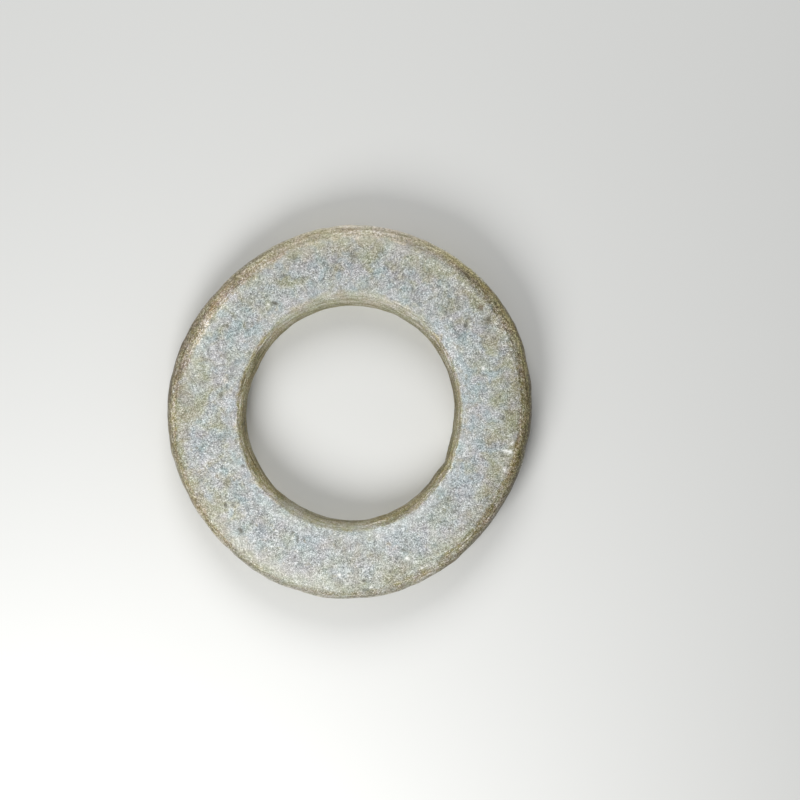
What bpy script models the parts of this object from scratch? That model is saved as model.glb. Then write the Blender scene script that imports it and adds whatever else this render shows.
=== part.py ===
"""A stone bracelet: one broad flat ring, ground by hand from a slab of grey-green stone.

The ring lies flat with +Z up. The bore was worn through from both faces, so it is narrowest
halfway down and flares to each face. The outer edge is bevelled round the top and the underside,
with an upright strip between. No edge is a true circle: each has a mean size and a few long waves.
Directions are degrees round the ring, anticlockwise from +X, seen from above.
"""

import math

import bmesh
import bpy

MM = 0.001

# Driving sizes, in metres
BORE_DIAMETER = 61.6 * MM  # the mean at the waist of the bore, where an arm passes
BAND_WIDTH = 22.9 * MM  # the mean from the waist of the bore to the outer edge
THICKNESS = 14.0 * MM  # the mean along the middle of the band
FACE_FALL = 0.3 * MM  # how far the top face drops towards its two edges

TOP_FLARE = 2.75 * MM  # how much wider than its waist the bore is at the top face, on each side
UNDER_FLARE = 2.4 * MM  # the same at the underside
WAIST_HOLLOW = 1.3  # 1 is a straight cone from the waist to a face, more is a hollower wall
TOP_LIP = 1.0 * MM  # how far a worn curve eats into the wall and into the top face where they meet

EDGE_STRIP = 3.6 * MM  # height of the upright strip round the outer edge
TOP_BEVEL = 3.45 * MM  # width of the bevel between the top face and the strip
UNDER_BEVEL = 2.6 * MM  # width of the bevel between the strip and the underside
BEVEL_START = 32  # degrees that a bevel falls away where it leaves a face
BEVEL_LIMIT = 0.8  # the most of a bevel's drop that its slanted start takes up, where the slab is thin

# How uneven the hand-ground ring is: the height of the largest wave in each measure
OUTER_UNEVEN = 1.0 * MM
BORE_UNEVEN = 0.54 * MM
THICKNESS_UNEVEN = 0.12 * MM

# The waves: how many round the ring, height as a share of the largest, direction of a crest
OUTER_WAVES = (
    (1, 0.31, 23),
    (2, 1.0, 66),
    (3, 0.36, 42),
    (4, 0.29, 3),
    (5, 0.125, 27),
    (6, 0.035, -27),
    (7, 0.035, -15),
)
BORE_WAVES = (
    (1, 0.9, -41),
    (2, 1.0, 80),
    (3, 0.285, 53),
    (4, 0.19, 21),
)
THICKNESS_WAVES = (
    (1, 1.0, 250),
    (2, 0.67, 15),
)

# The same for the flare and the bevel at the top face, with heights as shares of their widths
TOP_FLARE_WAVES = (
    (1, 0.12, 162),
    (2, 0.11, 93),
    (3, 0.035, -27),
)
TOP_BEVEL_WAVES = (
    (1, 0.25, 69),
    (2, 0.165, -47),
    (3, 0.045, 3),
)

# Where two strokes of the boring met, a corner stands out into the bore's wall
CORNER_DIRECTION = -28
CORNER_DEPTH = 0.62 * MM
CORNER_REACH = 4.9 * MM  # along the bore's edge, to each side
CORNER_POINT = 1.6  # 1 is a straight-sided corner, more is a sharper one

# How finely the shape is divided
STATIONS = 144  # sections round the ring
BORE_STEPS = 4
LIP_STEPS = 3
FACE_STEPS = 4
BEVEL_STEPS = 5

STONE_COLOUR = (0.44, 0.46, 0.41, 1.0)
STONE_ROUGHNESS = 0.6


def waves(rows, direction):
    """The sum of the rows' waves at a direction."""
    return sum(
        height * math.cos(math.radians(count * (direction - crest)))
        for count, height, crest in rows
    )


def corner(direction):
    """How far the corner pushes the bore's wall outwards at a direction."""
    turn = (direction - CORNER_DIRECTION + 180) % 360 - 180
    along = math.radians(abs(turn)) * BORE_DIAMETER / 2
    return CORNER_DEPTH * max(0, 1 - along / CORNER_REACH) ** CORNER_POINT


def curve(start, turn, end, steps):
    """Points of the curve that leaves start towards turn and comes to end from turn.

    All are (radius, height), and start itself is left out.
    """
    points = []
    for step in range(1, steps + 1):
        t = step / steps
        near = (1 - t) ** 2
        far = t**2
        points.append(tuple(
            near * a + (1 - near - far) * b + far * c
            for a, b, c in zip(start, turn, end)
        ))
    return points


def bevel(start, end):
    """Points of a bevel that leaves a face slanting at start and is upright at end."""
    drop = end[1] - start[1]
    slant = (end[0] - start[0]) * math.tan(math.radians(BEVEL_START))
    slant = min(slant, BEVEL_LIMIT * abs(drop))
    turn = (end[0], start[1] + math.copysign(slant, drop))
    return curve(start, turn, end, BEVEL_STEPS)


def section(direction):
    """The band cut through at a direction: (radius, height) points, once round it.

    They run from the waist of the bore up to the top face, across it, down the outer edge,
    back along the underside and up to the waist.
    """
    middle = THICKNESS / 2
    top = THICKNESS + THICKNESS_UNEVEN * waves(THICKNESS_WAVES, direction)
    top_edge = top - FACE_FALL
    waist = BORE_DIAMETER / 2 + BORE_UNEVEN * waves(BORE_WAVES, direction) + corner(direction)
    rim = BORE_DIAMETER / 2 + BAND_WIDTH + OUTER_UNEVEN * waves(OUTER_WAVES, direction)
    top_flare = TOP_FLARE * (1 + waves(TOP_FLARE_WAVES, direction))
    top_bevel = TOP_BEVEL * (1 + waves(TOP_BEVEL_WAVES, direction))

    points = []
    wall_end = 1 - TOP_LIP / (top_edge - middle)
    for step in range(BORE_STEPS + 1):
        t = wall_end * step / BORE_STEPS
        points.append((waist + top_flare * t**WAIST_HOLLOW, middle + (top_edge - middle) * t))

    face_start = waist + top_flare + TOP_LIP
    face_end = rim - top_bevel
    points += curve(points[-1], (waist + top_flare, top_edge), (face_start, top_edge), LIP_STEPS)
    for step in range(1, FACE_STEPS + 1):
        across = 2 * step / FACE_STEPS - 1
        points.append((
            face_start + (face_end - face_start) * step / FACE_STEPS,
            top - FACE_FALL * across**2,
        ))

    strip_top = (rim, middle + EDGE_STRIP / 2)
    strip_foot = (rim, middle - EDGE_STRIP / 2)
    under_edge = (rim - UNDER_BEVEL, 0.0)
    points += bevel(points[-1], strip_top)
    points += [*reversed(bevel(under_edge, strip_foot)), under_edge]

    for step in range(BORE_STEPS):
        t = 1 - step / BORE_STEPS
        points.append((waist + UNDER_FLARE * t**WAIST_HOLLOW, middle * (1 - t)))
    return points


def ring_mesh():
    """The sections at every station, joined face by face into one closed skin."""
    shape = bmesh.new()
    sections = []
    for station in range(STATIONS):
        direction = 360 * station / STATIONS
        x_share = math.cos(math.radians(direction))
        y_share = math.sin(math.radians(direction))
        sections.append([
            shape.verts.new((radius * x_share, radius * y_share, height))
            for radius, height in section(direction)
        ])
    for here, beyond in zip(sections, sections[1:] + sections[:1]):
        for index in range(len(here)):
            shape.faces.new((here[index - 1], here[index], beyond[index], beyond[index - 1]))
    bmesh.ops.recalc_face_normals(shape, faces=shape.faces)
    mesh = bpy.data.meshes.new("ring")
    shape.to_mesh(mesh)
    shape.free()
    mesh.shade_smooth()
    mesh.set_sharp_from_angle(angle=math.radians(30))
    return mesh


def stone():
    """Grey-green stone with a dull handling polish."""
    material = bpy.data.materials.new("stone")
    material.use_nodes = True
    surface = material.node_tree.nodes["Principled BSDF"]
    surface.inputs["Base Color"].default_value = STONE_COLOUR
    surface.inputs["Roughness"].default_value = STONE_ROUGHNESS
    surface.inputs["Metallic"].default_value = 0.0
    return material


def build_ring():
    """The bracelet, with the middle of its outline's box above the origin and its underside at 0."""
    mesh = ring_mesh()
    ring = bpy.data.objects.new("ring", mesh)
    across = [vertex.co.x for vertex in mesh.vertices]
    along = [vertex.co.y for vertex in mesh.vertices]
    ring.location.x = -(min(across) + max(across)) / 2
    ring.location.y = -(min(along) + max(along)) / 2
    mesh.materials.append(stone())
    bpy.context.scene.collection.objects.link(ring)
    return ring


for leftover in list(bpy.data.objects):
    bpy.data.objects.remove(leftover, do_unlink=True)
build_ring()
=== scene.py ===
"""The looks of a stone bracelet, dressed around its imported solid.

It is one piece: a broad flat ring, ground by hand from a slab of grey-green stone. Lengths are in
millimetres until the mesh is made. Directions are degrees round the ring, anticlockwise from +X,
seen from above.
"""

import math

import bpy
import numpy as np
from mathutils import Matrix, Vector, noise


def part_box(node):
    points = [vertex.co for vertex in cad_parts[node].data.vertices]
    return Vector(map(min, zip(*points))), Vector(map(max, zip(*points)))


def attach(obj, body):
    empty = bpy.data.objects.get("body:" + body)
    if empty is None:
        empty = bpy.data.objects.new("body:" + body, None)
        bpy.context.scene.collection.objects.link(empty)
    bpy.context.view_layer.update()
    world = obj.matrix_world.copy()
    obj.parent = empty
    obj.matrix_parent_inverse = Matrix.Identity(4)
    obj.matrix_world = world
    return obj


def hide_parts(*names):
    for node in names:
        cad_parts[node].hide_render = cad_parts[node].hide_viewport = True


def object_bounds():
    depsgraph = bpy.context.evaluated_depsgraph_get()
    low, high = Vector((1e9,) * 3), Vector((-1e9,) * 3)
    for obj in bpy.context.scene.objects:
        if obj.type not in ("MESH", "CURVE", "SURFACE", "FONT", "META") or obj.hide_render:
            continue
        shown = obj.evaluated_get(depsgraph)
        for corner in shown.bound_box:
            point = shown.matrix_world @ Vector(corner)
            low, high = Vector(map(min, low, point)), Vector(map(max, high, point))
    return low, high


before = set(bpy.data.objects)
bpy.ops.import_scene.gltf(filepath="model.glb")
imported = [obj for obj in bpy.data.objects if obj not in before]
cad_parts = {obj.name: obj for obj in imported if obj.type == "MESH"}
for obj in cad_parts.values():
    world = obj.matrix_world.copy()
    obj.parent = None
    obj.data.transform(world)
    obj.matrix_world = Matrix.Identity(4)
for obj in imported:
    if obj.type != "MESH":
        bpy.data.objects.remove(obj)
solid_low, solid_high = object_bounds()


# The bracelet: one piece of hard grey-green stone, cut as a disc from a slab, bored through from both
# faces and ground by hand. The faces stay matt and pale, while handling has browned and half polished
# the bore and the outer edge. It is whole, and nothing is fixed to it.

mm = 0.001
bore_across = 61.6  # the mean at the waist of the bore, halfway down
band_width = 22.9  # the mean from the waist of the bore to the outer edge
thickness = 14.0  # the mean along the middle of the band
face_fall = 0.3  # how far the top face drops towards its two edges
top_flare = 2.75  # how much wider than its waist the bore is at the top face, on each side
under_flare = 2.4  # the same at the underside
waist_hollow = 1.3  # 1 is a straight cone from the waist to a face, more is a hollower wall
edge_strip = 3.6  # height of the upright strip round the outer edge
top_bevel = 3.45  # width of the bevel between the top face and the strip
under_bevel = 2.6  # width of the bevel between the strip and the underside
bevel_start = 32  # degrees that a bevel falls away where it leaves a face
bevel_limit = 0.8  # the most of a bevel's drop that its slanted start takes up
under_lip = 0.7  # how far a worn curve eats into the wall and the underside where they meet

# The slow waves of the hand-ground shape. Each measure has the height of its largest wave in mm, and
# then, wave by wave, how many go round the ring, the share of that height, and where a crest lies.
# The waves of the flare, the bevel and the lip are shares of their widths.
outer_uneven = 1.0
outer_waves = (
    (1, 0.31, 23),
    (2, 1.0, 66),
    (3, 0.36, 42),
    (4, 0.29, 3),
    (5, 0.125, 27),
    (6, 0.035, -27),
    (7, 0.035, -15),
)
bore_uneven = 0.54
bore_waves = ((1, 0.9, -41), (2, 1.0, 80), (3, 0.285, 53), (4, 0.19, 21))
thickness_uneven = 0.12
thickness_waves = ((1, 1.0, 250), (2, 0.67, 15))
top_flare_waves = ((1, 0.12, 162), (2, 0.11, 93), (3, 0.035, -27))
top_bevel_waves = ((1, 0.25, 69), (2, 0.165, -47), (3, 0.045, 3))

# The bore's upper edge is soft at the back of the ring and crisp at the front
top_lip = 0.75
top_lip_waves = ((1, 0.55, 100), (3, 0.15, 20))

# Where two strokes of the boring met, a corner stands out into the bore's wall
corner_direction = -28
corner_depth = 0.62
corner_reach = 4.9  # along the bore's edge, to each side
corner_point = 1.6  # 1 is a straight-sided corner, more is a sharper one

# How finely the skin is divided: sections round the ring, and steps along each stretch of a section
stations = 720
wall_steps = 14
lip_steps = 6
face_steps = 45
bevel_steps = 16
strip_steps = 8
under_slope_steps = 11
underside_steps = 12
under_lip_steps = 4
under_wall_steps = 12
direction = np.arange(stations)[:, None] * 360 / stations


def waves(rows):
    """The sum of the rows' waves at every station."""
    return sum(
        height * np.cos(np.radians(count * (direction - crest)))
        for count, height, crest in rows
    )


def wander(length, seed):
    """A value that strays between about -1 and 1 round the ring, over stretches of this length."""
    reach = (bore_across / 2 + band_width) / length
    return np.array([
        [2 * noise.noise(Vector((reach * math.cos(angle), reach * math.sin(angle), seed)))]
        for angle in np.radians(direction[:, 0])
    ])


def shares(steps):
    """The share of the way that is done after each of some equal steps."""
    return np.arange(1, steps + 1) / steps


def curve(start, turn, end, steps):
    """Points of the curve that leaves start towards turn and comes to end from turn."""
    t = shares(steps)
    return tuple(
        (1 - t) ** 2 * a + 2 * t * (1 - t) * b + t**2 * c
        for a, b, c in zip(start, turn, end)
    )


def bevel(start, end, steps):
    """Points of a bevel that leaves a face slanting at start and is upright at end."""
    drop = end[1] - start[1]
    slant = (end[0] - start[0]) * math.tan(math.radians(bevel_start))
    slant = np.minimum(slant, bevel_limit * abs(drop))
    return curve(start, (end[0], start[1] + np.sign(drop) * slant), end, steps)


middle = thickness / 2
ground = np.zeros((stations, 1))  # the height of the underside
top = thickness + thickness_uneven * waves(thickness_waves)
top_edge = top - face_fall
from_corner = abs((direction - corner_direction + 180) % 360 - 180)
corner = corner_depth * np.clip(
    1 - np.radians(from_corner) * bore_across / 2 / corner_reach, 0, 1
) ** corner_point

# Every edge also strays by a tenth of a millimetre or two, over stretches of a few millimetres
waist = bore_across / 2 + bore_uneven * waves(bore_waves) + corner + 0.05 * wander(6, 1)
rim = bore_across / 2 + band_width + outer_uneven * waves(outer_waves)
rim = rim + 0.05 * wander(7, 2) + 0.04 * wander(2.6, 3)
flare = top_flare * (1 + waves(top_flare_waves)) + 0.10 * wander(5, 4)
slope = top_bevel * (1 + waves(top_bevel_waves)) + 0.22 * wander(6, 5) + 0.10 * wander(2.5, 6)
lip = top_lip * (1 + waves(top_lip_waves))
foot = waist + under_flare
under_rim = rim - under_bevel + 0.2 * wander(7, 7)
strip_top = (rim, middle + edge_strip / 2 + 0.15 * wander(9, 8))
strip_foot = (rim, middle - edge_strip / 2 + 0.15 * wander(9, 9))

# Once round the section: up the bore's wall, over its lip, across the face, down the outer edge,
# back along the underside and up to the waist. Each stretch is its name and its (radius, height).
wall_end = 1 - lip / (top_edge - middle)
climb = np.linspace(0, 1, wall_steps + 1) * wall_end
wall = (waist + flare * climb**waist_hollow, middle + (top_edge - middle) * climb)
face_start = waist + flare + lip
face_end = rim - slope
share = shares(face_steps)
face = (
    face_start + (face_end - face_start) * share,
    top - face_fall * (2 * share - 1) ** 2,
)
share = shares(strip_steps)
strip = (rim + 0 * share, strip_top[1] + (strip_foot[1] - strip_top[1]) * share)
under_edge = (under_rim, ground)
under_slope = bevel(under_edge, strip_foot, under_slope_steps)
share = shares(underside_steps)
underside = (under_rim + (foot + under_lip - under_rim) * share, ground + 0 * share)
climb = under_lip + (middle - under_lip) * np.arange(under_wall_steps) / under_wall_steps
under_wall = (waist + under_flare * (1 - climb / middle) ** waist_hollow, ground + climb)
stretches = {
    "wall": wall,
    "lip": curve(
        (wall[0][:, -1:], wall[1][:, -1:]),
        (waist + flare, top_edge),
        (face_start, top_edge),
        lip_steps,
    ),
    "face": face,
    "bevel": bevel((face_end, top_edge), strip_top, bevel_steps),
    "strip": strip,
    "under slope": tuple(part[:, ::-1][:, 1:] for part in under_slope),
    "under edge": under_edge,
    "underside": underside,
    "under lip": curve(
        (foot + under_lip, ground),
        (foot, ground),
        (under_wall[0][:, :1], under_wall[1][:, :1]),
        under_lip_steps,
    ),
    "under wall": (under_wall[0][:, 1:], under_wall[1][:, 1:]),
}
radius = np.hstack([part[0] for part in stretches.values()])
height = np.hstack([part[1] for part in stretches.values()])
columns = radius.shape[1]
zone = np.concatenate([[name] * part[0].shape[1] for name, part in stretches.items()])

# Grinding and wear took the sharpness off every arris
rounding_passes = 3
for _ in range(rounding_passes):
    radius = (np.roll(radius, 1, 1) + 2 * radius + np.roll(radius, -1, 1)) / 4
    height = (np.roll(height, 1, 1) + 2 * height + np.roll(height, -1, 1)) / 4

angle = np.radians(direction)
skin = np.stack([radius * np.cos(angle), radius * np.sin(angle), height], 2)


def unit(vectors):
    """The vectors at a length of one."""
    return vectors / np.linalg.norm(vectors, axis=-1, keepdims=True)


along = unit(np.roll(skin, -1, 0) - np.roll(skin, 1, 0))
across = unit(np.roll(skin, -1, 1) - np.roll(skin, 1, 1))
outward = unit(np.cross(across, along))


def lumps(size, seed):
    """Smooth lumps of this size all over the skin, between about -1 and 1."""
    shift = Vector((seed * 13.7, seed * 5.1, seed * 9.3))
    return np.array([
        2 * noise.noise(Vector(point) / size + shift) for point in skin.reshape(-1, 3)
    ]).reshape(stations, columns)


# The relief is how far each point of the skin stands out, in mm. Beside it are kept the painted
# shade that darkens a hole there, and pale, how much bare white mineral shows.
relief = 0.11 * lumps(9, 1) + 0.05 * lumps(3.6, 2) + 0.022 * lumps(1.3, 3)
edges = np.isin(zone, ("bevel", "strip", "under slope", "lip"))
relief += 0.10 * edges * lumps(4.5, 4)
hole_shade = np.zeros((stations, columns))
pale = np.zeros((stations, columns))

station_gap = 0.25  # between two stations at the bore, where they lie closest
mark_rise = 2.0  # how far up or down a mark still reaches where the skin bends away


def oval(station, column, long, wide, lie):
    """How near each point is to one point of the skin, 1 to 0, over an oval that lies at an angle
    to the run of the ring, with the rows of stations that it reaches."""
    reach = int(3 * max(long, wide) / station_gap) + 2  # in stations, to where nothing of it is left
    rows = np.arange(station - reach, station + reach + 1) % stations
    offset = skin[rows] - skin[station, column]
    lie = math.radians(lie)
    main = math.cos(lie) * along[station, column] + math.sin(lie) * across[station, column]
    side = np.cross(outward[station, column], main)
    near = (
        (offset @ main / long) ** 2
        + (offset @ side / wide) ** 2
        + (offset @ outward[station, column] / mark_rise) ** 2
    )
    return rows, np.exp(-near)


# Pits and open pores, scattered, each darkened by painted shade, the more the deeper it is
pits = 420
pit_darkness = 5  # for each millimetre of its depth
chance = np.random.default_rng(7)
for _ in range(pits):
    station = chance.integers(stations)
    column = chance.integers(columns)
    size = chance.uniform(0.25, 0.55)
    rows, near = oval(station, column, size * chance.uniform(1, 1.8), size, chance.uniform(0, 180))
    depth = chance.uniform(0.03, 0.12)
    relief[rows] -= depth * near
    hole_shade[rows] += pit_darkness * depth * near

# Long shallow scratches of the grinding, in no one direction
scratches = 150
scratched = np.flatnonzero(np.isin(zone, ("face", "underside", "bevel")))
for _ in range(scratches):
    station = chance.integers(stations)
    column = chance.choice(scratched)
    rows, near = oval(
        station, column, chance.uniform(1.5, 5), chance.uniform(0.22, 0.34), chance.uniform(0, 180)
    )
    relief[rows] -= chance.uniform(0.02, 0.05) * near

# Small chips out of the outer edge, some darkened by painted shade and some freshly pale, and out of
# the bore's lip
edge_chips = 110
edge = np.flatnonzero(np.isin(zone, ("bevel", "strip", "under slope")))
for _ in range(edge_chips):
    station = chance.integers(stations)
    column = chance.choice(edge)
    rows, near = oval(
        station, column, chance.uniform(0.6, 2.0), chance.uniform(0.4, 0.9), chance.uniform(-25, 25)
    )
    relief[rows] -= chance.uniform(0.05, 0.22) * near
    hole_shade[rows] += chance.uniform(-0.1, 0.4) * near
lip_chips = 40
for _ in range(lip_chips):
    station = chance.integers(stations)
    column = chance.choice(np.flatnonzero(zone == "lip"))
    rows, near = oval(
        station, column, chance.uniform(0.4, 1.3), chance.uniform(0.25, 0.5), chance.uniform(-30, 30)
    )
    relief[rows] -= chance.uniform(0.03, 0.12) * near


def mark(towards, distance, long, wide, lie):
    """The oval round the point of the top side in this direction, this far from the ring's middle."""
    station = round(towards * stations / 360) % stations
    upper = np.flatnonzero(np.isin(zone, ("wall", "lip", "face", "bevel")))
    column = upper[np.argmin(abs(radius[station, upper] - distance))]
    return oval(station, column, long, wide, lie)


# The marks that show from a step away: direction, distance from the middle, length, width, depth,
# lie, and how dark the painted shade in the hollow is, where more than 1 makes it dark out to near
# its edge
for towards, distance, long, wide, depth, lie, dark in (
    (33.3, 48.3, 2.2, 1.0, 0.10, 60, 0.6),
    (36.4, 42.1, 0.8, 0.6, 0.10, 0, 1.05),
    (46.2, 40.9, 1.5, 0.9, 0.06, 20, 0.375),
    (88.6, 45.2, 1.4, 0.7, 0.06, 30, 0.675),
    (191, 36.6, 1.6, 0.8, 0.05, 40, 0.45),
    (172.6, 37.7, 0.9, 0.6, 0.05, 0, 0.75),
    (207, 34.6, 0.5, 0.4, 0.18, 0, 2.1),
    (274.9, 49.5, 0.45, 0.35, 0.14, 0, 2.1),
    (217.2, 45.0, 0.6, 0.4, 0.12, 30, 1.8),
    (140.4, 43.9, 0.5, 0.4, 0.12, 0, 1.2),
    (124.6, 38.1, 0.9, 0.5, 0.10, 40, 1.2),
    (146.7, 48.3, 0.5, 0.4, 0.14, 0, 1.35),
    (227.3, 46.7, 1.0, 0.6, 0.12, 20, 1.65),
    (311.3, 37.0, 1.3, 0.3, 0.08, 30, 0.75),
    (248.2, 40.2, 0.9, 0.35, 0.07, 70, 0.9),
    (291.6, 43.3, 1.0, 0.4, 0.07, 40, 0.9),
    (229.7, 38.1, 0.8, 0.4, 0.07, 60, 0.45),
    (116, 43.9, 1.1, 0.4, 0.08, 15, 0.9),
):
    rows, near = mark(towards, distance, long, wide, lie)
    relief[rows] -= depth * near
    hole_shade[rows] += dark * near

# Grains of white mineral, and scuffs that bared fresh stone: direction, distance, length, width, lie
grain_white = 1.3  # more than 1 makes a grain white out to near its edge
for towards, distance, long, wide, lie in (
    (346.1, 48.3, 0.50, 0.42, 0),
    (346.2, 47.5, 1.40, 0.28, 90),
    (349.0, 48.2, 0.60, 0.26, 42),
    (339.5, 48.0, 0.75, 0.26, 120),
    (291.7, 45.9, 0.50, 0.45, 0),
    (18.0, 41.0, 0.50, 0.45, 0),
    (277.2, 51.5, 0.40, 0.30, 0),
    (294.8, 50.2, 0.35, 0.30, 0),
    (25.2, 50.5, 0.50, 0.30, 60),
    (65.6, 49.7, 0.35, 0.30, 0),
    (126.9, 39.0, 0.35, 0.30, 0),
    (42.5, 40.1, 0.40, 0.35, 0),
    (173.6, 51.6, 0.35, 0.30, 0),
    (266.5, 47.4, 0.50, 0.40, 0),
):
    rows, near = mark(towards, distance, long, wide, lie)
    pale[rows] += grain_white * near

# It rests flat, so the underside is only ever hollowed, and its lowest points stay where they are
lower = np.isin(zone, ("under edge", "underside"))
relief[:, lower] = np.minimum(relief[:, lower], 0)
skin = skin + outward * relief[:, :, None]
skin[:, :, 2] = np.maximum(skin[:, :, 2], 0)

# The ring's outline is centred in the box of the solid
node_low, node_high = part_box("ring")
for axis in range(2):
    outline_middle = (skin[:, :, axis].min() + skin[:, :, axis].max()) / 2
    solid_middle = (node_low[axis] + node_high[axis]) / 2 / mm
    skin[:, :, axis] += solid_middle - outline_middle

here = np.arange(stations)[:, None]
beyond = (here + 1) % stations
point = np.arange(columns)[None, :]
next_point = (point + 1) % columns
faces = np.stack([
    here * columns + point,
    here * columns + next_point,
    beyond * columns + next_point,
    beyond * columns + point,
], 2).reshape(-1, 4)
mesh = bpy.data.meshes.new("stone bracelet")
mesh.from_pydata((skin.reshape(-1, 3) * mm).tolist(), [], faces.tolist())
mesh.shade_smooth()

# Four quarters of the skin laid out as strips, two above two, fill a square for its colours
margin = 0.004
strip_size = 0.5 - 2 * margin
quarter = stations // 4
step_lengths = np.linalg.norm(skin - np.roll(skin, 1, 1), axis=2).mean(0)
run = np.cumsum(np.append(0, np.roll(step_lengths, -1)))
run /= run[-1]
face_u = np.stack([here % quarter, here % quarter, here % quarter + 1, here % quarter + 1], 2)
face_u = margin + strip_size * face_u / quarter + 0.5 * (here // quarter % 2)[:, :, None]
face_v = np.stack([run[point], run[point + 1], run[point + 1], run[point]], 2)
face_v = margin + strip_size * face_v + 0.5 * (here // quarter // 2)[:, :, None]
face_u, face_v = np.broadcast_arrays(face_u, face_v)
layout = mesh.uv_layers.new(name="OFBake")
layout.data.foreach_set("uv", np.stack([face_u, face_v], 3).ravel().astype(np.float32))

# Where the colours lie: how far in from the rim, and how far out from the waist of the bore, each
# point is, in mm and as shares of the bevel and of the flare. The upper side is 1 and the lower 0.
inwards = rim - radius
outwards = radius - waist
from_rim = inwards / slope
from_bore = outwards / flare
upper_side = np.clip((height - middle) / 2 + 0.5, 0, 1)


def fade(values, full, gone):
    """1 where a value is at or before full, falling smoothly to 0 where it is gone."""
    t = np.clip((values - gone) / (full - gone), 0, 1)
    return t * t * (3 - 2 * t)


def bump_at(values, centre, reach):
    """1 where a value is at the centre, falling to nearly 0 at its reach to either side."""
    third = 0.62 * reach  # how far out it is down to about a third
    return np.exp(-(((values - centre) / third) ** 2))


def round_about(towards, distance, size):
    """1 at a spot of the top side, falling to 0 at about its size in mm."""
    spot = math.radians(towards)
    gap = np.hypot(
        radius * np.cos(angle) - distance * math.cos(spot),
        radius * np.sin(angle) - distance * math.sin(spot),
    )
    return bump_at(gap, 0, size) * upper_side


def stretch_of(first, last, soft):
    """1 between two directions and falling to 0 over a few degrees beyond them."""
    centre = (first + last) / 2
    away = abs((direction - centre + 180) % 360 - 180) - (last - first) / 2
    return fade(away, 0, soft)


def spots(*rows):
    """Spots of the top side added up. Each is its direction, distance, size and strength."""
    return sum(
        strength * round_about(towards, distance, size)
        for towards, distance, size, strength in rows
    )


# Handling browned the outer edge, faintly some way in over the face, and the bore, widest at the back
handled = fade(from_rim, 0.6, 1.35) * (0.75 + 0.25 * upper_side)
handled += 0.35 * bump_at(inwards, 3.9, 1.3) * stretch_of(145, 162, 8)
haze = 0.3 * fade(from_rim, 1.0, 2.6)
for mask in (handled, haze):
    mask *= 1 - 0.42 * stretch_of(246, 290, 24)
haze *= 1 - 0.7 * stretch_of(262, 310, 20) - 0.9 * stretch_of(118, 158, 14)
far_back = stretch_of(62, 112, 16)
worn_bore = fade(from_bore - 0.25 * far_back, 0.80 - 0.25 * far_back, 1.35 + 0.15 * far_back)
worn_bore += spots((187, 33.6, 1.6, 0.6), (179, 33.1, 1.6, -0.5), (172, 32.4, 1.2, 0.3))

# Olive where positive and blue-green where negative
tint = 0.36 * (1 + 0.25 * stretch_of(175, 255, 20) - 0.7 * stretch_of(118, 158, 14))
tint = tint * fade(from_rim, 0.9, 3.2)
tint += spots(
    (-74.4, 49.1, 6, 0.4),
    (-18.8, 46.9, 5, 0.7),
    (-4.2, 46.5, 7, 0.7),
    (0, 47, 3.5, 0.4),
    (6, 43.7, 4, 0.8),
    (24, 44.4, 4, 0.4),
    (41.4, 43.6, 6, 0.5),
    (59.9, 45.7, 4, 0.6),
    (83, 45.7, 5, 0.7),
    (96.7, 37.8, 3, 0.5),
    (115.6, 41.7, 3.5, 1.0),
    (129.5, 43.7, 4, 0.6),
    (167, 45.6, 4, 0.6),
    (178, 45.4, 6, 0.9),
    (204.7, 47.8, 5, 0.5),
    (213.5, 45.1, 5, 0.6),
)
tint += spots(
    (-70.2, 38.9, 5, -0.8),
    (-61.5, 43.9, 4, -0.5),
    (-31.5, 38.3, 5, -1.1),
    (-3.6, 38.6, 4, -0.7),
    (11.3, 37.3, 5, -0.7),
    (36.4, 37, 5, -0.5),
    (63.5, 38, 5, -0.4),
    (89.3, 41, 3, -0.7),
    (103.5, 43.7, 5, -0.5),
    (120, 48.6, 4, -0.35),
    (141, 38.2, 6, -0.7),
    (193, 45.6, 6, -0.4),
    (222, 38.7, 5, -0.4),
    (233, 44.6, 5, -0.6),
    (252, 39.5, 6, -0.8),
)
tint -= 0.4 * bump_at(outwards, 4.9, 1.7) * upper_side * (
    stretch_of(-65, 40, 12) + stretch_of(175, 225, 12)
)

# The edge is darkest on the right and dark on the left, partly brown patina and partly painted shade
# where it faces away from the lamps, and buffed pale at the back
browned_and_shaded = stretch_of(-40, 25, 45) + 0.6 * stretch_of(140, 172, 18)
buffed = stretch_of(68, 104, 32)

# The bore is drab and greyish on two sides, and stays yellow further up its wall on the other two
drab = stretch_of(52, 126, 14) + stretch_of(238, 274, 14)
sallow = 0.3 * (stretch_of(-68, 10, 14) + stretch_of(152, 222, 14)) * fade(outwards, 0.8, 0.2)

# Towards the rim the edge darkens, least at the back, partly with dirt and partly as painted shade
# where it turns away from the light. Hands left grease just inside it, and two stretches of it are
# redder
dark_rim = bump_at(inwards, 0, 1.6) * (1 - 0.7 * stretch_of(55, 100, 25))
greasy = bump_at(inwards, 0.9, 2.3) * (stretch_of(-8, 50, 30) + 0.35 * stretch_of(104, 212, 20))
ruddy = fade(inwards, 3.2, 5.2) * (stretch_of(112, 166, 12) + stretch_of(54, 76, 10))

# Rubbing evened out the grain where satin is positive, and it is rougher where that is negative
satin = buffed * fade(inwards, 4.6, 6.4) * (0.65 + 0.35 * fade(inwards, 3.2, 2.0))
satin -= 0.6 * stretch_of(22, 62, 12) * fade(inwards, 4.6, 6.4)
satin -= 0.9 * stretch_of(26, 62, 10) * fade(outwards, 2.0, 4.5)

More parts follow.
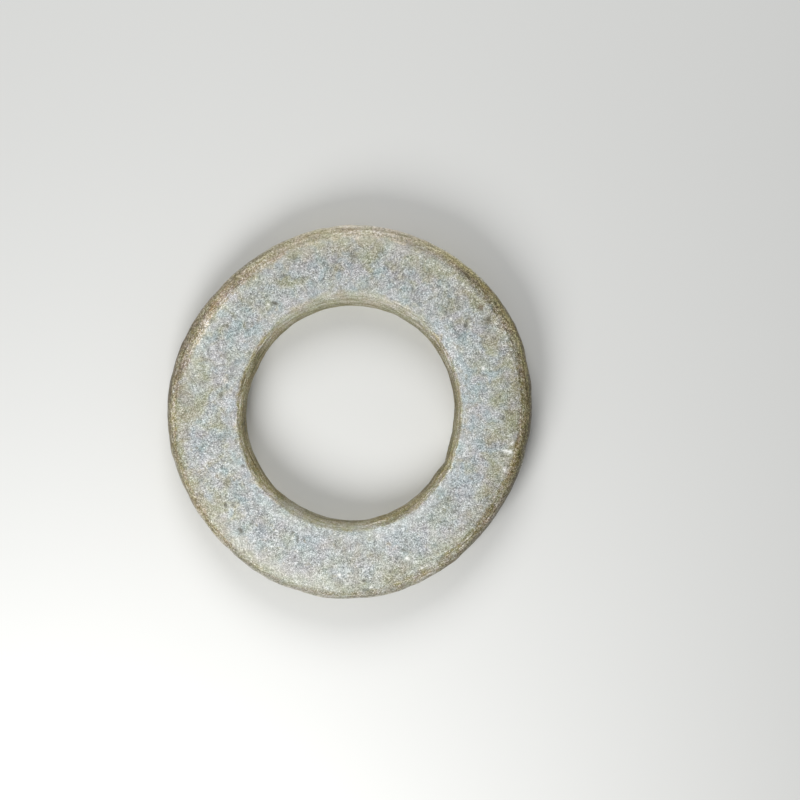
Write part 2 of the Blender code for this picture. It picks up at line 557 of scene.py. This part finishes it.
# In front the colours are most even. Peach-coloured spots lie along the arris at the upper left,
# partly peach-coloured stone and partly a painted highlight where the arris catches the light, and two
# more lie beside the bore. There is one stain
even = stretch_of(238, 306, 20)
peach_and_highlight = spots(
    (129, 49.3, 1.3, 0.5),
    (138.8, 49.4, 2.0, 0.6),
    (145.5, 49.2, 1.6, 1.0),
    (148.5, 49.0, 1.8, 1.1),
    (152, 48.8, 1.6, 0.9),
    (155, 48.5, 1.8, 0.5),
    (166.2, 37.3, 1.4, 0.5),
    (60, 34.6, 2.4, 0.35),
)
stain = round_about(38.3, 48.9, 1.7)

# Some stretches are darker and others paler: partly grime in the pores and rubbing, and partly
# painted shade and painted light that give each side of the edge and the bore the brightness
# the lamps leave on it. The value is the power of two that their tone is raised by. Each row near
# the rim is how much, from and to which direction, how softly it ends, how far in from the rim
# its middle lies, and how far it reaches.
painted_light_and_grime = np.zeros((stations, columns))
for much, first, last, soft, centre, reach in (
    (-0.22, -38, 8, 8, 0.6, 0.8),
    (0.36, -14, 8, 8, 2.8, 0.6),
    (0.24, 18, 56, 12, 4.7, 1.8),
    (-0.40, 48, 70, 8, 2.9, 1.0),
    (0.18, 76, 104, 14, 3.4, 3.4),
    (-0.30, 102, 113, 8, 2.6, 1.8),
    (-0.30, 110, 130, 12, 0.8, 0.8),
    (0.20, 110, 130, 10, 2.2, 1.2),
    (0.12, 114, 138, 8, 5.0, 1.4),
    (0.42, 133, 143, 6, 2.0, 1.5),
    (0.20, 140, 160, 12, 4.2, 3.6),
    (-0.34, 148, 157, 6, 1.9, 1.0),
    (-0.20, 170, 198, 8, 1.0, 0.9),
    (0.14, 174, 186, 8, 2.0, 2.0),
    (-0.10, 175, 250, 14, 5.2, 2.2),
    (0.14, 200, 254, 10, 3.0, 1.0),
    (-0.20, 228, 254, 8, 1.3, 0.8),
    (-0.22, 232, 348, 10, 0.6, 0.8),
    (-0.22, 236, 274, 14, 0.5, 0.8),
    (0.30, 296, 316, 12, 1.6, 1.4),
    (0.14, 298, 344, 10, 3.4, 1.6),
    (0.10, 320, 340, 12, 1.8, 1.8),
):
    painted_light_and_grime += much * stretch_of(first, last, soft) * bump_at(inwards, centre, reach)

# The same beside the bore, measured outwards from its waist
for much, first, last, soft, centre, reach in (
    (-0.24, -70, 38, 10, 0.5, 0.6),
    (0.14, 18, 132, 14, 1.2, 0.8),
    (0.20, 20, 42, 8, 2.4, 0.9),
    (0.16, 22, 40, 10, 4.6, 2.2),
    (0.18, 46, 74, 8, 1.1, 0.7),
    (0.30, 66, 118, 10, 0, 0.5),
    (-0.18, 80, 104, 10, 5.8, 1.4),
    (-0.20, 82, 128, 12, 2.9, 0.8),
    (0.20, 114, 128, 8, 1.1, 0.5),
    (0.20, 114, 128, 8, 3.8, 0.8),
    (-0.18, 140, 160, 8, 5.8, 1.4),
    (-0.24, 140, 160, 8, 1.8, 0.9),
    (-0.16, 142, 158, 8, 0.8, 0.8),
    (0.30, 142, 162, 8, 2.6, 0.7),
    (-0.24, 172, 220, 10, 0.5, 0.6),
    (0.20, 172, 220, 8, 2.0, 1.5),
    (0.24, 174, 186, 8, 2.1, 0.6),
    (0.20, 185, 278, 16, 2.2, 1.2),
    (0.14, 232, 280, 14, 1.2, 0.8),
    (0.18, 256, 284, 8, 1.1, 0.7),
    (0.26, 286, 342, 8, 1.4, 1.0),
    (-0.20, 294, 306, 8, 1.8, 0.8),
    (0.22, 320, 340, 10, 1.4, 0.7),
    (0.30, 320, 342, 8, 2.6, 0.7),
    (0.20, 322, 340, 10, 1.1, 0.5),
):
    painted_light_and_grime += much * stretch_of(first, last, soft) * bump_at(outwards, centre, reach)

# Broad stretches that start at the rim or at the waist of the bore: each is at its full as far as
# the one distance and gone at the other
for much, first, last, soft, distance, full, gone in (
    (-0.38, -22, 6, 12, inwards, 1.2, 2.3),
    (-0.12, 18, 46, 10, inwards, 2.6, 3.4),
    (-0.26, 52, 66, 14, inwards, 2.2, 4.0),
    (-0.24, 170, 280, 22, inwards, 1.4, 4.5),
    (-0.34, -42, 14, 16, outwards, 1.5, 2.6),
    (-0.26, 20, 40, 12, outwards, 1.0, 2.2),
    (0.20, 78, 126, 16, outwards, 2.8, 4.0),
):
    painted_light_and_grime += much * stretch_of(first, last, soft) * fade(distance, full, gone)
painted_light_and_grime += 0.9 * sallow * bump_at(outwards, 1.4, 1.3)

# A painted highlight along the shoulder of the outer edge, where its top catches the light, broken
# here and there into pale flecks
shoulder_highlight = bump_at(inwards, 0.15, 0.55) * fade(height, 9.2, 7.6) * (
    1.0 * stretch_of(44, 58, 6)
    + 0.6 * stretch_of(66, 140, 14)
    + 1.0 * stretch_of(215, 228, 5)
    + 0.9 * stretch_of(238, 250, 5)
    + 0.5 * stretch_of(256, 290, 10)
    + 1.0 * stretch_of(342, 346, 3)
)

# The face is palest in a band beside the bore and towards the rim in front
pale += upper_side * (
    0.10 * bump_at(from_bore, 1.75, 0.9)
    + 0.10 * stretch_of(285, 312, 14) * bump_at(outwards, 4.0, 1.6)
    + 0.16 * stretch_of(226, 256, 18) * bump_at(inwards, 4.4, 3.6)
    + 0.12 * stretch_of(138, 165, 18) * bump_at(inwards, 5.2, 3.6)
)

# The mesh keeps each of these as one value a vertex, for the material to read
for name, values in {
    "handled": handled,
    "haze": haze,
    "worn bore": np.clip(worn_bore, 0, 1),
    "up the bore": np.clip(from_bore + 0.4 * fade(height, 5.5, 7.5) - sallow, 0, 2),
    "tint": tint,
    "painted_light_and_grime": painted_light_and_grime,
    "browned_and_shaded": np.clip(browned_and_shaded, 0, 1),
    "buffed": buffed,
    "drab": drab,
    "dark_rim": dark_rim,
    "greasy": greasy,
    "ruddy": ruddy,
    "satin": satin,
    "even": even,
    "peach_and_highlight": np.clip(peach_and_highlight, 0, 1),
    "stain": stain,
    "shoulder_highlight": shoulder_highlight,
    "hole_shade": np.clip(hole_shade, 0, 1),
    "pale": np.clip(pale, 0, 1),
}.items():
    layer = mesh.attributes.new(name, "FLOAT", "POINT")
    layer.data.foreach_set("value", np.broadcast_to(values, radius.shape).ravel().astype(np.float32))

# For streaks that run round the ring: places on a circle as long as the bore, and the radius
circle = np.full_like(radius, waist.mean())
turned = np.stack([circle * np.cos(angle), circle * np.sin(angle), radius], 2)
layer = mesh.attributes.new("turned", "FLOAT_VECTOR", "POINT")
layer.data.foreach_set("vector", turned.ravel().astype(np.float32))

stone = bpy.data.materials.new("ground stone")
stone.use_nodes = True
tree = stone.node_tree
shader = tree.nodes["Principled BSDF"]


def colour(red, green, blue):
    """A colour as it looks, 0 to 255, turned into the light that it sends back."""
    return (*(
        part / 12.92 if part <= 0.04045 else ((part + 0.055) / 1.055) ** 2.4
        for part in (red / 255, green / 255, blue / 255)
    ), 1.0)


def put(value, socket):
    """Joins a node's output to a socket, or sets the socket to a plain value."""
    if isinstance(value, bpy.types.NodeSocket):
        tree.links.new(value, socket)
    else:
        socket.default_value = value


def stored(name):
    """What the mesh keeps under a name, as a value."""
    made = tree.nodes.new("ShaderNodeAttribute")
    made.attribute_name = name
    return made.outputs["Fac"]


def cloud(place, size, detail=2.0, rough=0.5, swirl=0.0):
    """Soft grey clouds of about this size in mm, 0 to 1."""
    made = tree.nodes.new("ShaderNodeTexNoise")
    put(place, made.inputs["Vector"])
    made.inputs["Scale"].default_value = 1 / size
    made.inputs["Detail"].default_value = detail
    made.inputs["Roughness"].default_value = rough
    made.inputs["Distortion"].default_value = swirl
    return made.outputs[0]


def moved(place, far):
    """Places shifted by this many mm, so that clouds drawn there fall elsewhere."""
    made = tree.nodes.new("ShaderNodeVectorMath")
    made.operation = "ADD"
    put(place, made.inputs[0])
    made.inputs[1].default_value = (far * 7.3, far * 5.1, far * 3.7)
    return made.outputs[0]


def dots(place, size):
    """How far each point is from the nearest of many scattered dots, in shares of their spacing."""
    made = tree.nodes.new("ShaderNodeTexVoronoi")
    put(place, made.inputs["Vector"])
    made.inputs["Scale"].default_value = 1 / size
    return made.outputs["Distance"]


def laid(place, lie, long, wide):
    """Places turned to a lie and measured in the length and width of a stroke along it."""
    made = tree.nodes.new("ShaderNodeMapping")
    made.vector_type = "TEXTURE"
    put(place, made.inputs["Vector"])
    made.inputs["Rotation"].default_value = (0, 0, math.radians(lie))
    made.inputs["Scale"].default_value = (long, wide, wide)
    return made.outputs[0]


def spread(value, low, high, first=0.0, last=1.0):
    """A value between low and high spread out from first to last, and held there beyond them."""
    made = tree.nodes.new("ShaderNodeMapRange")
    put(value, made.inputs["Value"])
    made.inputs["From Min"].default_value = low
    made.inputs["From Max"].default_value = high
    made.inputs["To Min"].default_value = first
    made.inputs["To Max"].default_value = last
    return made.outputs[0]


def sums(kind, *values):
    """One step of arithmetic between values, such as ADD, MULTIPLY or MAXIMUM."""
    made = tree.nodes.new("ShaderNodeMath")
    made.operation = kind
    for value, socket in zip(values, made.inputs):
        put(value, socket)
    return made.outputs[0]


def total(*parts):
    """The sum of values, each given with its share."""
    whole = 0.0
    for value, share in parts:
        whole = sums("MULTIPLY_ADD", value, share, whole)
    return whole


def product(first, *others):
    """Values multiplied together."""
    for value in others:
        first = sums("MULTIPLY", first, value)
    return first


def mixed(share, first, second, way="MIX"):
    """Two colours mixed: none of the second at 0, all of it at 1."""
    made = tree.nodes.new("ShaderNodeMix")
    made.data_type = "RGBA"
    made.blend_type = way
    put(share, made.inputs["Factor"])
    put(first, made.inputs[6])
    put(second, made.inputs[7])
    return made.outputs[2]


def between(share, first, second):
    """The same for two values."""
    made = tree.nodes.new("ShaderNodeMix")
    put(share, made.inputs["Factor"])
    put(first, made.inputs[2])
    put(second, made.inputs[3])
    return made.outputs[0]


# Places on the ring in mm, how high each lies, and the places for streaks that run round the ring
to_mm = tree.nodes.new("ShaderNodeVectorMath")
to_mm.operation = "SCALE"
to_mm.inputs["Scale"].default_value = 1 / mm
put(tree.nodes.new("ShaderNodeTexCoord").outputs["Object"], to_mm.inputs[0])
place = to_mm.outputs[0]
place_parts = tree.nodes.new("ShaderNodeSeparateXYZ")
put(place, place_parts.inputs[0])
tall = place_parts.outputs["Z"]
turned_layer = tree.nodes.new("ShaderNodeAttribute")
turned_layer.attribute_name = "turned"
turned_place = turned_layer.outputs["Vector"]


def streaked(start, long, wide):
    """Clouds drawn out into streaks round the ring, 0 to 1."""
    stretched = tree.nodes.new("ShaderNodeVectorMath")
    stretched.operation = "MULTIPLY"
    put(turned_place, stretched.inputs[0])
    stretched.inputs[1].default_value = (1 / long, 1 / long, 1 / wide)
    made = tree.nodes.new("ShaderNodeTexNoise")
    made.noise_dimensions = "4D"
    put(stretched.outputs[0], made.inputs["Vector"])
    put(sums("MULTIPLY_ADD", tall, 1 / wide, start), made.inputs["W"])
    made.inputs["Scale"].default_value = 1.0
    made.inputs["Detail"].default_value = 2.0
    return made.outputs[0]


def threads(size, start, wide):
    """Thin winding lines, broken into short pieces: 1 along a line and 0 beside it."""
    winding = cloud(moved(place, start), size, detail=1.0, swirl=0.6)
    line = spread(sums("ABSOLUTE", sums("SUBTRACT", winding, 0.5)), 0.0, wide, 1.0, 0.0)
    broken = spread(cloud(moved(place, start + 4), 1.2, detail=1.0), 0.42, 0.54)
    return product(line, broken)


# The grain of the ground faces: crumbs of pale and dark mineral, pale threads and dark cracks where
# the grinding bruised them, and patches of short strokes that all lie one way
crumbs = cloud(place, 0.28, detail=1.0, swirl=0.6)
clumps = cloud(place, 1.2, swirl=0.8)
strokes = 0.0
for lie, long, wide in ((28, 1.9, 0.38), (83, 1.6, 0.36), (132, 2.2, 0.40)):
    stroke = spread(cloud(laid(place, lie, long, wide), 1.0, detail=1.0), 0.3, 0.7, -1.0, 1.0)
    patch = spread(cloud(moved(place, lie), 6.0, detail=1.0), 0.46, 0.60)
    strokes = sums("MULTIPLY_ADD", stroke, patch, strokes)
bleached = spread(cloud(moved(place, 17), 4.0, detail=3.0, rough=0.6, swirl=0.3), 0.3, 0.7, -1.0, 1.0)
grain = total(
    (crumbs, 1.0),
    (clumps, 0.03),
    (threads(1.1, 3.0, 0.10), 0.08),
    (threads(0.8, 11.0, 0.11), 0.08),
    (threads(0.95, 31.0, 0.09), -0.12),
    (threads(0.75, 43.0, 0.10), -0.11),
    (strokes, 0.045),
    (bleached, 0.04),
)
specks = product(spread(dots(place, 1.25), 0.10, 0.30, 1, 0), spread(clumps, 0.42, 0.60, 1, 0))

# Rubbing drew the grain of the edge, and more so of the bore, out into streaks round the ring
coarse = cloud(moved(place, 51), 0.62, rough=0.6, swirl=0.5)
fine_streaks = streaked(0.0, 4.0, 0.34)
broad_streaks = streaked(9.0, 8.0, 0.9)
hue_streaks = streaked(21.0, 5.0, 0.8)
edge_grain = total((crumbs, 0.54), (coarse, 0.38), (fine_streaks, 0.22), (broad_streaks, 0.20))
bore_grain = total((crumbs, 0.58), (coarse, 0.12), (fine_streaks, 0.32), (broad_streaks, 0.34))

# Which part is which: the borders are broken up by clumps and wander a little
fraying = cloud(moved(place, 81), 2.8, detail=3.0, rough=0.6)
breaking = spread(total((clumps, 0.3), (fraying, 0.7)), 0.34, 0.66, -0.4, 0.4)
on_edge = sums("MAXIMUM", spread(sums("ADD", stored("handled"), breaking), 0.15, 0.85), stored("haze"))
on_bore = spread(sums("MULTIPLY_ADD", breaking, 0.6, stored("worn bore")), 0.12, 0.88)
polish = sums("MAXIMUM", on_edge, on_bore)

# Tone is a power of two, so that a step of it looks alike on pale and on dark stone
face_tone = sums("ADD", spread(grain, 0.29, 0.50, -1.2, -0.05), spread(grain, 0.50, 0.72, 0.0, 0.96))
edge_tone = product(
    spread(edge_grain, 0.54, 0.80, -1.9, 1.55),
    spread(stored("buffed"), 0, 1, 1, 0.7),
    spread(tall, 7.0, 10.0, 0.6, 1.0),
)
bore_tone = product(
    spread(bore_grain, 0.52, 0.84, -1.7, 1.5),
    spread(stored("up the bore"), 0.2, 1, 1.25, 0.9),
    spread(stored("drab"), 0, 1, 1, 0.6),
)
tone = between(on_bore, between(on_edge, face_tone, edge_tone), bore_tone)
tone = product(tone, sums("MULTIPLY_ADD", stored("satin"), -0.38, 1.0))
# The tone is raised or lowered by the painted light and shade, and raised by the painted highlight
# along the shoulder of the outer edge
tone_factor = sums("POWER", 2.0, total((tone, 1.0), (stored("painted_light_and_grime"), 1.0), (stored("shoulder_highlight"), 0.6)))

# The face: neutral grey, with olive and blue-green patches
neutral_grey = colour(181, 183, 181)
olive_grey = colour(169, 168, 143)
blue_green_grey = colour(168, 180, 181)
warm_clouds = spread(cloud(place, 4.4, rough=0.4, swirl=0.6), 0.3, 0.7, -0.75, 0.75)
cool_clouds = spread(cloud(moved(place, 37), 3.6, rough=0.4, swirl=0.4), 0.3, 0.7, -0.9, 0.9)
varied = spread(stored("even"), 0, 1, 1, 0.45)
olive = sums("MULTIPLY_ADD", warm_clouds, varied, sums("ADD", stored("tint"), 0.22))
teal = sums("MULTIPLY_ADD", cool_clouds, varied, sums("SUBTRACT", 0.1, stored("tint")))
face_colour = mixed(spread(olive, 0.0, 1.0), neutral_grey, olive_grey)
face_colour = mixed(spread(teal, 0.0, 1.05), face_colour, blue_green_grey)

# The edge: each of its three colours is streaked between a darker and a paler shade
streaks = spread(broad_streaks, 0.36, 0.64)
plain_brown = mixed(streaks, colour(170, 161, 135), colour(182, 174, 147))
dark_brown = mixed(streaks, colour(138, 128, 100), colour(153, 144, 116))
pale_buff = mixed(streaks, colour(199, 190, 171), colour(208, 200, 180))
dark_rim_colour = colour(90, 78, 50)
# Darker brown where the edge faces away from the lamps: partly patina, partly painted shade
edge_colour = mixed(stored("browned_and_shaded"), plain_brown, dark_brown)
edge_colour = mixed(stored("buffed"), edge_colour, pale_buff)
# The edge darkens to a dark brown at the rim, partly dirt and partly painted shade
edge_colour = mixed(product(stored("dark_rim"), 0.6), edge_colour, dark_rim_colour)
edge_colour = mixed(stored("even"), edge_colour, (0.98, 1.02, 1.0, 1.0), "MULTIPLY")

# The bore: dark and yellow at its waist, pale at its top. The darkening towards the waist is partly
# patina and partly painted shade, deep in the bore where the light only grazes the wall
bore_low = mixed(stored("drab"), colour(129, 118, 58), colour(127, 122, 92))
bore_high = mixed(stored("drab"), colour(187, 183, 166), colour(184, 182, 166))
bore_colour = mixed(spread(stored("up the bore"), 0.12, 0.95), bore_low, bore_high)
stone_colour = mixed(on_edge, face_colour, edge_colour)
stone_colour = mixed(on_bore, stone_colour, bore_colour)

# Over all of it lie faint casts of pink and green, and over the browned parts of yellow too
rosy = cloud(moved(place, 23), 4.2, rough=0.4)
casts = mixed(spread(rosy, 0.34, 0.66), (0.952, 1.0, 0.968, 1.0), (1.004, 0.964, 0.992, 1.0))
stone_colour = mixed(1.0, stone_colour, casts, "MULTIPLY")
yellowing = total((cloud(moved(place, 61), 3.2), 0.5), (cloud(moved(place, 63), 1.3), 0.5))
yellows = mixed(spread(yellowing, 0.38, 0.62), (0.94, 0.90, 0.59, 1.0), (1.07, 1.08, 1.32, 1.0))
reddening = total((hue_streaks, 0.5), (cloud(moved(place, 67), 1.4), 0.5))
reds = mixed(spread(reddening, 0.38, 0.62), (0.955, 1.025, 0.93, 1.0), (1.045, 0.93, 0.985, 1.0))
browns = mixed(1.0, yellows, reds, "MULTIPLY")
browns = mixed(stored("ruddy"), browns, (1.02, 0.97, 1.0, 1.0), "MULTIPLY")
browning = product(
    polish,
    spread(stored("buffed"), 0, 1, 1, 0.45),
    spread(stored("drab"), 0, 1, 1, 0.6),
)
stone_colour = mixed(browning, stone_colour, browns, "MULTIPLY")

# Grime yellows the dark crumbs of the browned parts. After the peach-coloured spots and their painted
# highlight comes the tone, over all the colours so far
grime = product(polish, spread(tone, -0.9, 0.2, 0.8, 0.0))
stone_colour = mixed(grime, stone_colour, (1.0, 0.97, 0.76, 1.0), "MULTIPLY")
peach_and_highlight_share = product(stored("peach_and_highlight"), spread(grain, 0.42, 0.62, 0.1, 0.9))
stone_colour = mixed(peach_and_highlight_share, stone_colour, colour(226, 198, 160))
stone_colour = mixed(1.0, stone_colour, tone_factor, "MULTIPLY")

# Pale flecks and dark pores stand out on the browned edge
flecks = product(
    on_edge,
    spread(dots(moved(place, 5), 1.15), 0.12, 0.26, 1, 0),
    spread(coarse, 0.42, 0.58),
    spread(stored("dark_rim"), 0.0, 1.0, 0.35, 0.5),
)
pores = product(on_edge, spread(dots(moved(place, 9), 1.3), 0.10, 0.26, 1, 0), 0.5)
stone_colour = mixed(flecks, stone_colour, colour(208, 200, 174))
stone_colour = mixed(pores, stone_colour, colour(78, 70, 48))

# The palest crumbs are bare white mineral, and the painted highlight on the shoulder is whitened too
whiteness = tree.nodes.new("ShaderNodeRGBToBW")
put(stone_colour, whiteness.inputs[0])
whitened = sums("MAXIMUM", spread(tone, 0.0, 0.9, 0.0, 0.6), product(stored("shoulder_highlight"), 0.6))
stone_colour = mixed(whitened, stone_colour, whiteness.outputs[0])

# Last come the grease, dark specks, the stain, the painted shade in the hollows, pale flecks of the
# painted highlight on the shoulder, and white grains
stone_colour = mixed(stored("greasy"), stone_colour, (1.02, 0.98, 0.62, 1.0), "MULTIPLY")
highlight_flecks = product(stored("shoulder_highlight"), spread(cloud(moved(place, 71), 0.7, detail=3.0), 0.54, 0.62))
for share, laid_over in (
    (product(specks, 0.6), colour(88, 88, 76)),
    (product(stored("stain"), 0.7), colour(112, 88, 62)),
    (product(stored("hole_shade"), 0.85), colour(80, 78, 64)),
    (highlight_flecks, colour(224, 218, 198)),
    (stored("pale"), colour(252, 252, 246)),
):
    stone_colour = mixed(share, stone_colour, laid_over)
stone_colour.node.clamp_result = True
put(stone_colour, shader.inputs["Base Color"])

# Matt where it was ground, with a dull polish where it was handled
matt = 0.68
polished = 0.42
roughness = spread(sums("MULTIPLY_ADD", crumbs, -0.3, polish), -0.3, 1.0, matt, polished)
put(roughness, shader.inputs["Roughness"])
shader.inputs["Specular IOR Level"].default_value = 0.4
bump = tree.nodes.new("ShaderNodeBump")
bump.inputs["Strength"].default_value = 0.5
bump.inputs["Distance"].default_value = 0.16 * mm
put(sums("MULTIPLY_ADD", specks, -0.3, grain), bump.inputs["Height"])
put(bump.outputs[0], shader.inputs["Normal"])

ring = bpy.data.objects.new("stone_ring", mesh)
bpy.context.scene.collection.objects.link(ring)
mesh.materials.append(stone)
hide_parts("ring")
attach(ring, "root")


# The studio: a plain pale table top, matt and wide enough to run out of sight. The light is soft:
# a large lamp in front, a weaker one behind and a pale room all round, with little from the right.

table_colour = colour(226, 226, 223)
table_half = 4.0
table = bpy.data.meshes.new("table top")
table.from_pydata(
    [
        (-table_half, -table_half, 0),
        (table_half, -table_half, 0),
        (table_half, table_half, 0),
        (-table_half, table_half, 0),
    ],
    [],
    [(0, 1, 2, 3)],
)
table_finish = bpy.data.materials.new("matt table top")
table_finish.use_nodes = True
table_shader = table_finish.node_tree.nodes["Principled BSDF"]
table_shader.inputs["Base Color"].default_value = table_colour
table_shader.inputs["Roughness"].default_value = 0.9
table_shader.inputs["Specular IOR Level"].default_value = 0.1
table.materials.append(table_finish)
table_top = bpy.data.objects.new("table_top", table)
table_top.location.z = -0.0002  # a hair below the ring, so that no two faces lie in one place
bpy.context.scene.collection.objects.link(table_top)

# Each lamp: direction, how high in degrees, how far in metres, how wide, watts
for name, towards, rise, away, wide, watts in (
    ("front lamp", 246, 41, 0.34, 0.18, 0.88),
    ("back lamp", 95, 43, 0.85, 0.50, 3.25),
):
    lamp = bpy.data.lights.new(name, "AREA")
    lamp.shape = "DISK"
    lamp.size = wide
    lamp.energy = watts
    lamp_object = bpy.data.objects.new(name, lamp)
    lamp_object.visible_camera = False
    from_middle = Vector((
        math.cos(math.radians(rise)) * math.cos(math.radians(towards)),
        math.cos(math.radians(rise)) * math.sin(math.radians(towards)),
        math.sin(math.radians(rise)),
    ))
    lamp_object.location = away * from_middle
    lamp_object.rotation_euler = from_middle.to_track_quat("Z", "Y").to_euler()
    bpy.context.scene.collection.objects.link(lamp_object)

room = bpy.data.worlds.new("pale room")
room.use_nodes = True
room_light = room.node_tree.nodes["Background"]
room_light.inputs["Color"].default_value = (0.95, 0.97, 1.0, 1.0)
room_light.inputs["Strength"].default_value = 0.30
bpy.context.scene.world = room
bpy.context.scene.view_settings.view_transform = "Standard"

# The camera looks straight down. The ring lies a little left of and below the middle of the picture
picture_across = 0.2343  # how much the picture's width takes in at the middle of the ring's height
camera_height = 1.0  # above the middle of the ring
camera_right = 0.01483  # to the right of it
camera_up = 0.00338  # towards the top of the picture from it
lens = bpy.data.cameras.new("camera")
lens.sensor_width = 36
lens.lens = lens.sensor_width * camera_height / picture_across
camera = bpy.data.objects.new("camera", lens)
ring_middle = (solid_low + solid_high) / 2
camera.location = ring_middle + Vector((camera_right, camera_up, camera_height))
bpy.context.scene.collection.objects.link(camera)
bpy.context.scene.camera = camera
